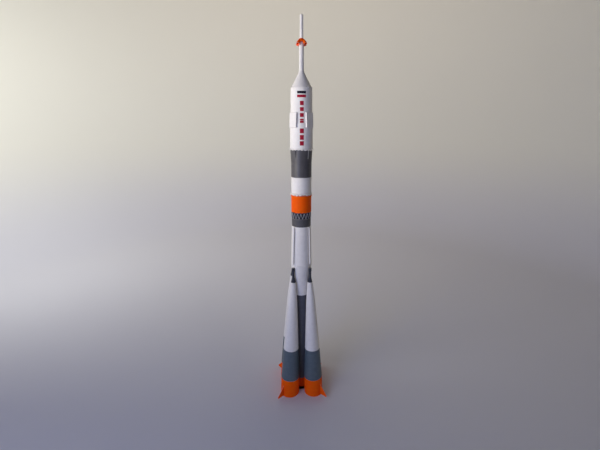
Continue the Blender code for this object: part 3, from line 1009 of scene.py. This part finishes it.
@dataclass(frozen=True)
class FairingMarks:
    """The printed marks: a patch of two stripes over a column of plain blocks.

    Attributes:
        upper_roll: How the upper tube under them is rolled.
        lower_roll: How the lower tube is.
        ink_rise: How far the print stands off the card.
        stripes: Each stripe's foot and top height and its ink.
        stripe_span: First and last azimuth of the stripes, counted from the front.
        blocks: Each block's foot and top height.
        block_width: Width of a block.
        block_azimuth: The column's azimuth, counted from the front.
        tube_radius: Radius of the tubes under it, near enough for a block's width.
    """

    upper_roll: Roll
    lower_roll: Roll
    ink_rise: float = 0.06
    stripes: tuple[tuple[float, float, PrintedCard], ...] = (
        (571.4, 575.4, NAVY_INK),
        (565.6, 569.8, DARK_RED_INK),
    )
    stripe_span: tuple[float, float] = (-25.5, 20.8)
    blocks: Pairs = (
        (553.7, 560.3), (544.7, 550.8), (535.6, 541.7), (530.4, 532.8), (526.3, 529.9),
        (510.1, 517.7), (499.7, 507.4), (490.4, 497.5),
    )
    block_width: float = 6.3
    block_azimuth: float = -0.5
    tube_radius: float = 18.6

    ROWS, COLUMNS = 7, 25

    def build(self, bench: Bench) -> None:
        """Print the stripes and the blocks.

        Args:
            bench: The bench that finishes its pieces.
        """
        for number, (foot, top, ink) in enumerate(self.stripes, start=1):
            skin = self.patch(foot, top, *self.stripe_span)
            bench.placed(f"fairing_stripe_{number}", skin, ink)
        half = math.degrees(self.block_width / 2 / self.tube_radius)
        span = (self.block_azimuth - half, self.block_azimuth + half)
        blocks = [self.patch(foot, top, *span) for foot, top in self.blocks]
        bench.placed("fairing_blocks", Skin.joined(blocks), DARK_RED_INK)

    def patch(self, foot: float, top: float, first: float, last: float) -> Skin:
        """Lay one printed patch on the fairing.

        The front sheet lies at the fairing's radius plus the roll's change plus the ink's rise,
        and the back sheet the same distance inside it.

        Args:
            foot: Lowest height.
            top: Highest height.
            first: First azimuth, counted from the front.
            last: Last azimuth.

        Returns:
            The closed patch.
        """
        upper, lower = cad_outline("fairing_upper"), cad_outline("fairing_lower")
        side = np.concatenate([upper, lower])[::-1]
        heights = np.linspace(top, foot, self.ROWS)[:, None]
        angles = np.radians(FRONT + np.linspace(first, last, self.COLUMNS))
        roll = self.upper_roll if foot > upper[-1, 0] else self.lower_roll
        radii = np.interp(heights, side[:, 0], side[:, 1]) + roll.radius_change(angles)
        front, back = (on_circle(radii + rise, angles, heights) for rise in (self.ink_rise, -self.ink_rise))
        return slab_skin(front, back, bare=0.0)


@dataclass(frozen=True)
class GridFin:
    """A grid fin folded flat, as a box of card on the fairing.

    Attributes:
        number: Which of the four.
        azimuth: Where it sits.
        width: Its width.
        face: Distance of its face from the axis at its top.
        flare: How much further out its face stands at the foot.
        fold: Radius of its folds.
        askew: How far round from its azimuth it was glued.
        bow: How far its face bulges in the middle.
        soft_edge: How far each row at the top and foot lies from the edge, and is set in there.
    """

    number: int
    azimuth: float
    width: float = 15.6
    face: float = 19.8
    flare: float = 1.1
    fold: float = 0.55
    askew: float = -2.7
    bow: float = 0.12
    soft_edge: Pairs = ((0.0, 0.35), (0.12, 0.1), (0.4, 0.0))

    ROWS = 10
    FOLD_COLUMNS, FACE_COLUMNS, SIDE_COLUMNS = 6, 13, 4
    ROW_MARGIN = 1.5
    GLUE_GAP = 0.12

    def build(self, bench: Bench) -> None:
        """Fold the box round its own outline at each height.

        From one foot on the fairing the outline runs out along a side, turns through a quarter
        circle, crosses the face with a slight bow, turns again and comes back to the fairing,
        which it follows to close. The feet lie where the fairing's radius meets half the width.

        Args:
            bench: The bench that finishes its pieces.
        """
        low, high = (corner[2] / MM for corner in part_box(f"grid_fin_{self.number}"))
        side = np.concatenate([cad_outline("fairing_upper"), cad_outline("fairing_lower")])[::-1]
        edge, edge_inset = np.array(self.soft_edge).T
        heights = np.concatenate([
            high - edge, np.linspace(high - self.ROW_MARGIN, low + self.ROW_MARGIN, self.ROWS),
            low + edge[::-1],
        ])[:, None]
        inset = np.concatenate([edge_inset, np.zeros(self.ROWS), edge_inset[::-1]])[:, None]
        fairing = np.interp(heights, side[:, 0], side[:, 1]) + self.GLUE_GAP
        half = self.width / 2 - inset
        face = self.face + self.flare * (high - heights) / (high - low) - inset
        foot = np.sqrt(fairing ** 2 - half ** 2)
        bend = np.radians(np.linspace(0, 90, self.FOLD_COLUMNS))
        cross = np.linspace(-1, 1, self.FACE_COLUMNS + 2)[1:-1]
        up_side = foot + (face - self.fold - foot) * np.linspace(0, 1, self.SIDE_COLUMNS + 1)[:-1]
        upright = np.ones(self.SIDE_COLUMNS)
        outward = np.concatenate([
            up_side,
            face - self.fold + self.fold * np.sin(bend),
            face + self.bow * (1 - cross ** 2),
            face - self.fold + self.fold * np.cos(bend),
            up_side[:, ::-1],
            np.sqrt(fairing ** 2 - (cross * half) ** 2),
        ], axis=1)
        sideways = np.concatenate([
            -half * upright,
            -half + self.fold * (1 - np.cos(bend)),
            cross * (half - self.fold),
            half - self.fold * (1 - np.sin(bend)),
            half * upright,
            -cross * half,
        ], axis=1)
        grid = np.stack(np.broadcast_arrays(outward, sideways, heights), axis=-1)
        skin = Skin.from_grid(grid).moved(turned_z(self.azimuth + self.askew))
        bench.finish(f"grid_fin_{self.number}", skin, Slot.WHITE)


@dataclass(frozen=True)
class Adapter:
    """The dark grey adapter: a short cone cut into petals over a tube.

    Attributes:
        cone_roll: How the cone is rolled, with points close enough for its seams.
        tube: The tube.
        seams: Azimuth, width and depth of each slit or overlap between petals, an overlap's below zero.
        seam_length: How far they run down.
        cut_edge: Width of the cut edge that an overlap shows, and how white it is.
    """

    cone_roll: Roll = Roll(420, 88.0, 0.2, 0.04, 31)
    tube: Section = Section(
        "adapter_tube", Slot.DARK_GREY, Roll(160, 85.0, 0.22, 0.04, 32), Ends(0.0, 0.08, bare=0.0))
    seams: tuple[tuple[float, float, float], ...] = (
        (237.0, 1.0, 1.9), (306.0, 0.7, -0.5), (8.0, 0.6, 1.2),
        (66.0, 0.7, -0.5), (125.0, 0.5, 1.0), (182.0, 0.7, 1.4),
    )
    seam_length: float = 13.0
    cut_edge: tuple[float, float] = (1.1, 0.55)

    def build(self, bench: Bench) -> None:
        """Build the cone with its seams, and the tube.

        Args:
            bench: The bench that finishes its pieces.
        """
        outline = cad_outline("adapter_cone")
        skin = rolled_skin(outline, self.cone_roll, Ends(0.05, 0.0, bare=0.0), pitch=2.0)
        top = outline[0, 0]
        for azimuth, width, depth in self.seams:
            skin = skin.pressed(azimuth, width, -depth, top, self.seam_length)
            if depth < 0:
                edge_width, share = self.cut_edge
                skin = skin.bared(azimuth, edge_width, top - self.seam_length, share)
        bench.finish("adapter_cone", skin, Slot.DARK_GREY)
        self.tube.build(bench)


@dataclass(frozen=True)
class UpperStage:
    """The upper stage: a white lip and tube, a ragged rim and an orange tail.

    Attributes:
        sections: Its rolled sections.
        rim: The ragged rim between the tube and the tail.
    """

    sections: tuple[Section, ...] = (
        Section("upper_stage_lip", Slot.WHITE, Roll(160, 70.0, 0.2, 0.05, 41), Ends(0.12, 0.12, 0.1, 0.0)),
        Section("upper_stage_tube", Slot.WHITE, Roll(160, 92.0, 0.22, 0.04, 42), Ends(0.05, 0.1)),
        Section(
            "upper_stage_tail", Slot.ORANGE, Roll(160, 97.0, 0.22, 0.05, 43),
            Ends(0.05, 0.25, 1.1, reach=1.1)),
    )
    rim: RaggedRim = RaggedRim("upper_stage_rim", Slot.WHITE, 20, 408.0, 18.5, 3.4, 0.25, 38.0, 16.0, 44)

    def build(self, bench: Bench) -> None:
        """Build its sections and its rim.

        Args:
            bench: The bench that finishes its pieces.
        """
        for section in self.sections:
            section.build(bench)
        self.rim.build(bench)


@dataclass(frozen=True)
class Interstage:
    """The dark interstage: a drum, a zigzag of struts round it and a band.

    Attributes:
        sections: The drum and the band.
        struts: Number of V shapes.
        strut_radius: Half the width of a strut.
        ring_radius: Distance of the struts from the axis.
        top: Height of the upper bends.
        foot: Height of the lower bends.
    """

    sections: tuple[Section, ...] = (
        # The drum's own card is darker than the band's, as painted shade in the recess behind the struts
        Section(
            "interstage_drum", Slot.DARK_GREY, Roll(144, 90.0, 0.2, 0.04, 51),
            Ends(0.04, 0.04, bare=0.0), DRUM_PAINTED_SHADE_CARD),
        Section("interstage_band", Slot.DARK_GREY, Roll(160, 100.0, 0.22, 0.05, 52), Ends(0.12, 0.12)),
    )
    struts: int = 18
    strut_radius: float = 0.5
    ring_radius: float = 17.45
    top: float = 372.7
    foot: float = 363.1

    ROUNDING = 0.985
    STEPS_A_STRUT = 32
    CORNERS = 8
    CORNER_POWER = 0.6

    def build(self, bench: Bench) -> None:
        """Build the drum, the band and the struts.

        The struts' line goes once round the ring while its height follows the arcsine of a
        slightly shrunken sine, which is a zigzag with rounded bends. The section carried along it
        is a rounded square, set across the line by the outward direction and the line's own.

        Args:
            bench: The bench that finishes its pieces.
        """
        for section in self.sections:
            section.build(bench)
        count = self.struts * self.STEPS_A_STRUT
        angles = np.arange(count) * FULL_TURN / count
        swing = np.arcsin(self.ROUNDING * np.sin(self.struts * angles)) / math.asin(self.ROUNDING)
        middle, reach = (self.top + self.foot) / 2, (self.top - self.foot) / 2
        line = on_circle(self.ring_radius, angles, middle + reach * swing)
        along = np.roll(line, -1, axis=0) - np.roll(line, 1, axis=0)
        along /= np.linalg.norm(along, axis=1, keepdims=True)
        outward = on_circle(1.0, angles, 0.0)
        across = np.cross(along, outward)
        corners = (np.arange(self.CORNERS) + 0.5) * FULL_TURN / self.CORNERS
        longest = np.maximum(np.abs(np.cos(corners)), np.abs(np.sin(corners)))
        square = self.strut_radius / longest ** self.CORNER_POWER
        out_share, across_share = (
            (square * turn(corners))[None, :, None] for turn in (np.cos, np.sin)
        )
        grid = line[:, None] + outward[:, None] * out_share - across[:, None] * across_share
        bench.finish("interstage_struts", Skin.from_grid(grid, Closing.RING), Slot.STRUT_GREY)


@dataclass(frozen=True)
class EngineBay:
    """A base disc inside a skirt, with its nozzles.

    Attributes:
        disc_radius: Radius of the disc.
        disc_top: Height of its upper side.
        disc_foot: Height of its lower side.
        mouth_height: Height of the nozzles' mouths.
        main_ring: Number of main nozzles, their distance from the axis and their mouth's radius.
        small_ring: The same for the small ones.
        small_turn: Azimuth of the first small one.
    """

    disc_radius: float
    disc_top: float
    disc_foot: float
    mouth_height: float
    main_ring: tuple[int, float, float]
    small_ring: tuple[int, float, float]
    small_turn: float

    DISC_ROLL = Roll(64, 90.0, 0.0, 0.03, 61)
    MAIN_TURN = 45.0
    SMALL_SHARE = 0.8
    ROOT_DEPTH = 0.4

    def skin(self) -> Skin:
        """Put the disc and its nozzles together.

        Returns:
            The whole bay as one surface, about its own axis.
        """
        outline = np.array([(self.disc_top, self.disc_radius), (self.disc_foot, self.disc_radius)])
        disc = rolled_skin(outline, self.DISC_ROLL, Ends(0, 0, bare=0.2))
        root = self.disc_foot + self.ROOT_DEPTH
        length = root - self.mouth_height
        parts = [disc]
        for (count, distance, mouth), turn, share in (
            (self.main_ring, self.MAIN_TURN, 1.0),
            (self.small_ring, self.small_turn, self.SMALL_SHARE),
        ):
            bell = bell_skin(mouth, length * share)
            parts += [
                bell.moved(turned_z(turn + 360.0 * index / count) @ shifted(distance, 0, root))
                for index in range(count)
            ]
        return Skin.joined(parts)


@dataclass(frozen=True)
class TailSkirt:
    """An open tail skirt of orange card with a thick wall.

    Attributes:
        top: Height of its top.
        foot: Height of its foot on the axis.
        top_radius: Outer radius at the top.
        foot_radius: Outer radius at the foot.
        wall: Its wall.
        ceiling: Height of the ceiling inside.
        lean: How far its axis leans, for a foot that is cut level.
        roll: How it is rolled.
    """

    top: float
    foot: float
    top_radius: float
    foot_radius: float
    wall: float
    ceiling: float
    lean: float = 0.0
    roll: Roll = Roll(128, 180.0, 0.2, 0.04, 62)

    WALL_ROWS = 9
    TOP_BARE, FOOT_BARE = 0.3, 0.5

    def skin(self) -> Skin:
        """Carry the skirt's outline round its axis.

        The outline runs down the outside, across the rim and up the inside to the ceiling. The
        foot's height falls with the distance towards the lean times the lean's tangent, so that
        it comes out level once the skirt leans.

        Returns:
            The closed skirt, about its own axis.
        """
        angles = self.roll.angles()
        change = self.roll.radius_change(angles)
        inner = self.foot_radius - self.wall
        level = -np.cos(angles) * math.tan(math.radians(self.lean))
        foot_outer = self.foot + level * self.foot_radius
        foot_inner = self.foot + level * inner
        way = np.linspace(0, 1, self.WALL_ROWS)[:, None]
        wall_start = self.top - SOFT_CORNER
        outer_height = wall_start + (foot_outer + SOFT_CORNER - wall_start) * way
        outer_radius = self.top_radius + (self.foot_radius - self.top_radius) * way + change
        inner_height = foot_inner + SOFT_CORNER + (self.ceiling - foot_inner - SOFT_CORNER) * way
        grid = np.concatenate([
            on_circle(self.top_radius - CARD, angles, self.top + PLAIN_ENDS.neck)[None],
            on_circle(self.top_radius - CARD, angles, self.top)[None],
            on_circle(self.top_radius - SOFT_CORNER + change, angles, self.top)[None],
            on_circle(outer_radius, angles, outer_height),
            on_circle(self.foot_radius - SOFT_CORNER + change, angles, foot_outer)[None],
            on_circle(inner + SOFT_CORNER + change, angles, foot_inner)[None],
            on_circle(inner + change, angles, inner_height),
        ])
        return Skin.from_grid(
            grid,
            bare_rows={1: self.TOP_BARE, 2: self.TOP_BARE, self.WALL_ROWS + 3: self.FOOT_BARE},
            bare_columns={-1: self.FOOT_BARE},
        )


@dataclass(frozen=True)
class Core:
    """The core: collar, swelling tank, waist, tube, skirt, engines and the four rails.

    Attributes:
        sections: Its rolled sections.
        skirt: Its tail skirt.
        engines: Its engine bay.
        rail_radius: Radius of a rail.
        rail_top: Distance from the axis and height of a rail's top.
        rail_foot: The same for its foot.
        rail_roll: How a rail is rolled.
    """

    sections: tuple[Section, ...] = (
        Section("core_collar", Slot.WHITE, Roll(160, 88.0, 0.22, 0.04, 71), Ends(0.08, 0.08, 0.1, 0.08)),
        Section("core_upper_tank", Slot.WHITE, Roll(160, 90.0, 0.22, 0.05, 72), Ends(0.05, 0.08)),
        Section("core_waist", Slot.WHITE, Roll(160, 95.0, 0.22, 0.05, 73), Ends(0.05, 0.1)),
        Section(
            "core_waist_collar", Slot.WHITE, Roll(128, 85.0, 0.22, 0.04, 74),
            Ends(0.1, 0.1, 0.05, 0.05)),
        Section("core_tube", Slot.BLUE_GREY, Roll(128, 90.0, 0.22, 0.05, 75), Ends(0.05, 0.05), CORE_CARD),
    )
    skirt: TailSkirt = TailSkirt(21.0, 0.6, 13.8, 14.2, 1.2, 9.0)
    engines: EngineBay = EngineBay(12.6, 8.7, 7.7, 1.8, (4, 5.9, 3.6), (4, 10.8, 1.2), 0.0)
    rail_radius: float = 1.3
    rail_top: tuple[float, float] = (19.45, 347.0)
    rail_foot: tuple[float, float] = (22.05, 275.8)
    rail_roll: Roll = Roll(40, 180.0, 0.06, 0.02, 76)

    DOME_TURN = 80
    DOME_ROWS = 7

    def build(self, bench: Bench) -> None:
        """Build all its pieces.

        Args:
            bench: The bench that finishes its pieces.
        """
        for section in self.sections:
            section.build(bench)
        bench.finish("core_skirt", self.skirt.skin(), Slot.ORANGE)
        bench.finish("core_engines", self.engines.skin(), Slot.DARK_GREY)
        distance, height = self.rail_foot
        inward, rise = distance - self.rail_top[0], self.rail_top[1] - height
        rail = self.rail_skin(math.hypot(inward, rise))
        lean = leaned_y(-math.degrees(math.atan2(inward, rise)))
        for number, azimuth in enumerate(QUARTERS, start=1):
            place = turned_z(azimuth) @ shifted(distance, 0, height) @ lean
            bench.finish(f"core_rail_{number}", rail.moved(place), Slot.WHITE)

    def rail_skin(self, length: float) -> Skin:
        """Roll a thin rail with a domed foot.

        The dome's radius is the rail's times the cosine of an angle, while its height falls by
        the rail's radius times the sine.

        Args:
            length: The rail's length.

        Returns:
            The rail, its foot at height zero.
        """
        dome = np.radians(np.linspace(0, self.DOME_TURN, self.DOME_ROWS))
        foot = self.rail_radius * (1 - np.sin(dome))
        outline = np.concatenate([
            [(length, self.rail_radius)],
            np.stack([foot, self.rail_radius * np.cos(dome)], axis=-1),
        ])
        return rolled_skin(outline, self.rail_roll, Ends(0.03, 0.0, neck=-0.8))


@dataclass(frozen=True)
class Stance:
    """How a booster piece stands: its foot's distance from the axis and height, and its lean inwards."""

    distance: float
    height: float
    lean: float

    def matrix(self) -> Array:
        """Matrix that stands a piece there, on the +X side."""
        return shifted(self.distance, 0, self.height) @ leaned_y(-self.lean)


@dataclass(frozen=True)
class Booster:
    """One leaning booster with its fin.

    Attributes:
        number: Which of the four.
        azimuth: Where it stands.
        stance: How its lower cone, skirt and engines stand.
        upper_stance: How its upper cone stands.
        tip_stance: How its tip stands.
        upper_outline: Height and diameter of the white cone, from the top down.
        lower_outline: Height and diameter of the blue grey cone.
        tip_outline: Height and diameter of the tip.
        skirt: Its tail skirt.
        engines: Its engine bay.
    """

    number: int
    azimuth: float
    stance: Stance = Stance(34.0, 0.0, 2.387)
    upper_stance: Stance = Stance(29.78, 101.25, 3.15)
    tip_stance: Stance = Stance(22.0, 240.7, -1.0)
    upper_outline: Pairs = ((139.2, 8.9), (138.8, 9.8), (138.0, 10.2), (98.6, 17.9), (0.0, 29.3))
    lower_outline: Pairs = ((101.0, 29.05), (36.6, 36.4))
    tip_outline: Pairs = (
        (28.0, 5.1), (27.7, 5.4), (22.8, 5.4), (21.6, 5.0), (20.4, 4.6), (16.0, 4.5), (11.8, 4.7),
        (8.6, 5.4), (5.8, 6.6), (3.8, 7.6), (2.0, 8.4), (0.0, 9.4),
    )
    skirt: TailSkirt = TailSkirt(36.3, 0.02, 18.2, 18.5, 1.2, 9.0, 2.387)
    engines: EngineBay = EngineBay(16.8, 8.7, 7.7, 1.9, (4, 7.6, 4.3), (2, 14.0, 1.5), 90.0)

    FIRST_SEED = 80
    SEEDS_EACH = 10

    def build(self, bench: Bench) -> None:
        """Build its pieces, each in its own place.

        Args:
            bench: The bench that finishes its pieces.
        """
        turn = turned_z(self.azimuth)
        stand = turn @ self.stance.matrix()
        seed = self.FIRST_SEED + self.SEEDS_EACH * self.number
        upper = rolled_skin(
            self.outline(self.upper_outline), Roll(128, 175.0, 0.22, 0.06, seed),
            Ends(0.06, 0.12, 0.1, 0.32, reach=0.9))
        lower = rolled_skin(
            self.outline(self.lower_outline), Roll(128, 185.0, 0.22, 0.05, seed + 1), Ends(0.05, 0.12))
        tip = rolled_skin(
            self.outline(self.tip_outline), Roll(56, 180.0, 0.1, 0.03, seed + 2), Ends(0.03, 0.06, bare=0.3))
        for piece, skin, slot in (
            ("upper_cone", upper.moved(turn @ self.upper_stance.matrix()), Slot.WHITE),
            ("lower_cone", lower.moved(stand), Slot.BLUE_GREY),
            ("skirt", self.skirt.skin().moved(stand), Slot.ORANGE),
            ("engines", self.engines.skin().moved(stand), Slot.DARK_GREY),
            ("tip", tip.moved(turn @ self.tip_stance.matrix()), Slot.NAVY),
            ("fin", Fin().skin().moved(turn), Slot.ORANGE),
        ):
            bench.finish(f"booster_{self.number}_{piece}", skin, slot)

    @staticmethod
    def outline(pairs: Pairs) -> Array:
        """Turn pairs of height and diameter into pairs of height and radius."""
        return np.array(pairs) * (1.0, 0.5)


@dataclass(frozen=True)
class Fin:
    """A tail fin of two glued layers of card, in the plane through the model's axis.

    Attributes:
        root_foot: Distance from the axis and height of the root's foot.
        root_top: The same for the root's top.
        tip_top: The same for the top of the blunt tip.
        tip_foot: The same for the tip's foot.
        thickness: Its thickness.
        curl: How far the card curls sideways between root and tip.
    """

    root_foot: tuple[float, float] = (52.84, 2.2)
    root_top: tuple[float, float] = (51.75, 24.3)
    tip_top: tuple[float, float] = (68.0, 6.4)
    tip_foot: tuple[float, float] = (68.0, 3.6)
    thickness: float = 0.9
    curl: float = 0.35

    ROWS, COLUMNS = 11, 15
    EDGE_BARE = 0.25

    def skin(self) -> Skin:
        """Spread the fin between its four corners.

        A point lies between the corners by two shares, out and down, and moves sideways by the
        curl times the sine of half a turn of the outward share. Both sheets lie half the
        thickness to the side of that.

        Returns:
            The closed fin.
        """
        out = np.linspace(0, 1, self.COLUMNS)[None, :, None]
        down = np.linspace(0, 1, self.ROWS)[:, None, None]
        top = (1 - out) * np.array(self.root_top) + out * np.array(self.tip_top)
        foot = (1 - out) * np.array(self.root_foot) + out * np.array(self.tip_foot)
        place = (1 - down) * top + down * foot
        bend = self.curl * np.sin(math.pi * out[..., 0])
        front, back = (
            np.stack(np.broadcast_arrays(place[..., 0], bend + side, place[..., 1]), axis=-1)
            for side in (-self.thickness / 2, self.thickness / 2)
        )
        return slab_skin(front, back, self.EDGE_BARE)


@dataclass(frozen=True)
class Light:
    """A soft lamp.

    Attributes:
        name: Its name.
        place: Where it hangs, in metres.
        aim: The point that it faces.
        size: Width and height.
        power: Its power in watts.
        colour: Its colour as sRGB hex.
    """

    name: str
    place: tuple[float, float, float]
    aim: tuple[float, float, float]
    size: tuple[float, float]
    power: float
    colour: str

    def hang(self) -> None:
        """Hang the lamp out of the camera's sight."""
        data = bpy.data.lights.new(self.name, "AREA")
        data.shape = "RECTANGLE"
        data.size, data.size_y = self.size
        data.energy = self.power
        data.color = linear(self.colour)[:3]
        lamp = bpy.data.objects.new(self.name, data)
        lamp.location = self.place
        towards = np.array(self.aim) - np.array(self.place)
        flat = math.hypot(towards[0], towards[1])
        lamp.rotation_euler = (math.atan2(flat, -towards[2]), 0.0, math.atan2(-towards[0], towards[1]))
        lamp.visible_camera = False
        bpy.context.scene.collection.objects.link(lamp)


@dataclass(frozen=True)
class Studio:
    """The pale floor that sweeps up all round, the soft lamps and the camera.

    Attributes:
        flat_radius: Radius of the flat floor, in metres.
        sweep: Radius of the sweep up to the wall.
        wall_top: Height of the wall.
        floor_colour: Its colour at the foot, as sRGB hex.
        wall_colour: Its colour from the top of the sweep.
        floor_roughness: Roughness of its paper.
        room_colour: Colour of the room's own light.
        room_strength: Strength of that light.
        camera_place: Where the camera stands, in metres.
        camera_turn: Its turn about X, Y and Z.
        lens: Its focal length.
        sensor: Width of its sensor.
        nearest: How near a thing may be and still show.
        lamps: The lamps.
    """

    flat_radius: float = 1.1
    sweep: float = 0.5
    wall_top: float = 2.4
    floor_colour: str = "D8D8E3"
    wall_colour: str = "F0EEE4"
    floor_roughness: float = 0.9
    room_colour: str = "E0E2EC"
    room_strength: float = 0.01
    camera_place: tuple[float, float, float] = (-0.02995, -0.57564, 0.5122)
    camera_turn: tuple[float, float, float] = (74.06, 0.0, -2.75)
    lens: float = 19.55
    sensor: float = 36.0
    nearest: float = 0.01
    lamps: tuple[Light, ...] = (
        Light("window_light", (-0.4415, -0.2347, 0.55), (0.0, 0.0, 0.925), (0.22, 0.34), 2.32, "FFF8EA"),
        Light("cool_fill", (-0.75, -1.0, 0.55), (0.0, 0.0, 0.3), (0.6, 0.6), 5.4, "B3C4FF"),
        Light("back_wash", (0.0, 0.3, 1.6), (0.0, 1.6, 1.2), (0.6, 0.6), 5.25, "FFEFDC"),
        Light("left_wash", (-1.0, 0.2, 0.8), (-0.9, 1.3, 0.5), (0.5, 0.5), 6.35, "F9FAF2"),
    )

    FLAT_RINGS = 12
    SWEEP_RINGS = 17
    CENTRE_RADIUS = 0.02
    SIDES = 96

    def build(self) -> None:
        """Set up the floor, the lamps, the room's light and the camera."""
        self.lay_floor()
        for lamp in self.lamps:
            lamp.hang()
        world = bpy.data.worlds.new("room_light")
        world.use_nodes = True
        background = world.node_tree.nodes["Background"]
        background.inputs["Color"].default_value = linear(self.room_colour)
        background.inputs["Strength"].default_value = self.room_strength
        bpy.context.scene.world = world
        bpy.context.scene.view_settings.view_transform = "Standard"
        self.place_camera()

    def lay_floor(self) -> None:
        """Lay the floor and its wall as the stage."""
        mesh = self.floor_mesh()
        mesh.materials.append(self.floor_material())
        floor = bpy.data.objects.new("studio_floor", mesh)
        bpy.context.scene.collection.objects.link(floor)

    def floor_mesh(self) -> bpy.types.Mesh:
        """Sweep the floor up into a round wall.

        The outline is flat to the floor's radius, then a quarter circle up, then straight to the
        wall's top, carried once round the axis.

        Returns:
            The mesh, in metres.
        """
        quarter = np.radians(np.linspace(0, 90, self.SWEEP_RINGS))[1:]
        radii = np.concatenate([
            np.linspace(self.CENTRE_RADIUS, self.flat_radius, self.FLAT_RINGS),
            self.flat_radius + self.sweep * np.sin(quarter),
            [self.flat_radius + self.sweep],
        ])
        heights = np.concatenate([
            np.zeros(self.FLAT_RINGS), self.sweep * (1 - np.cos(quarter)), [self.wall_top],
        ])
        angles = np.arange(self.SIDES) * FULL_TURN / self.SIDES
        grid = on_circle(radii[::-1, None], angles, heights[::-1, None])
        rows, columns = grid.shape[:2]
        centre = list(range((rows - 1) * columns, rows * columns))
        faces = [*grid_quads(rows, columns, rows - 1).tolist(), centre]
        mesh = bpy.data.meshes.new("studio_floor")
        mesh.from_pydata(grid.reshape(-1, 3).tolist(), [], faces)
        mesh.shade_smooth()
        return mesh

    def floor_material(self) -> bpy.types.Material:
        """Build the matt paper of the floor, which grows paler up the sweep.

        Returns:
            The material, patterned on object coordinates.
        """
        material = bpy.data.materials.new("matt_floor_paper")
        material.use_nodes = True
        tree = material.node_tree
        place = add_node(tree, "ShaderNodeTexCoord").outputs["Object"]
        height = add_node(tree, "ShaderNodeSeparateXYZ", {"Vector": place}).outputs["Z"]
        rise = add_node(tree, "ShaderNodeMapRange", {
            "Value": height, "From Min": 0.0, "From Max": self.sweep,
        }, interpolation_type="SMOOTHSTEP").outputs["Result"]
        colour = add_node(tree, "ShaderNodeMix", {
            "Factor": rise, FIRST_COLOUR: linear(self.floor_colour), SECOND_COLOUR: linear(self.wall_colour),
        }, data_type="RGBA").outputs[MIXED_COLOUR]
        shader = tree.nodes["Principled BSDF"]
        shader.inputs["Roughness"].default_value = self.floor_roughness
        tree.links.new(colour, shader.inputs["Base Color"])
        return material

    def place_camera(self) -> None:
        """Stand the camera where the photograph was taken from."""
        data = bpy.data.cameras.new("photo_camera")
        data.lens = self.lens
        data.sensor_width = self.sensor
        data.clip_start = self.nearest
        camera = bpy.data.objects.new("photo_camera", data)
        camera.location = self.camera_place
        camera.rotation_euler = [math.radians(turn) for turn in self.camera_turn]
        bpy.context.scene.collection.objects.link(camera)
        bpy.context.scene.camera = camera


def main() -> None:
    """Build every sub-assembly, then the studio."""
    logging.basicConfig(level=logging.INFO, format="%(name)s: %(message)s")
    bench = Bench()
    assemblies = [EscapeTower(), Fairing(), Adapter(), UpperStage(), Interstage(), Core()]
    assemblies += [Booster(number, azimuth) for number, azimuth in enumerate(QUARTERS, start=1)]
    for assembly in assemblies:
        log.info("building %s", type(assembly).__name__)
        assembly.build(bench)
    Studio().build()


if __name__ == "__main__":
    main()
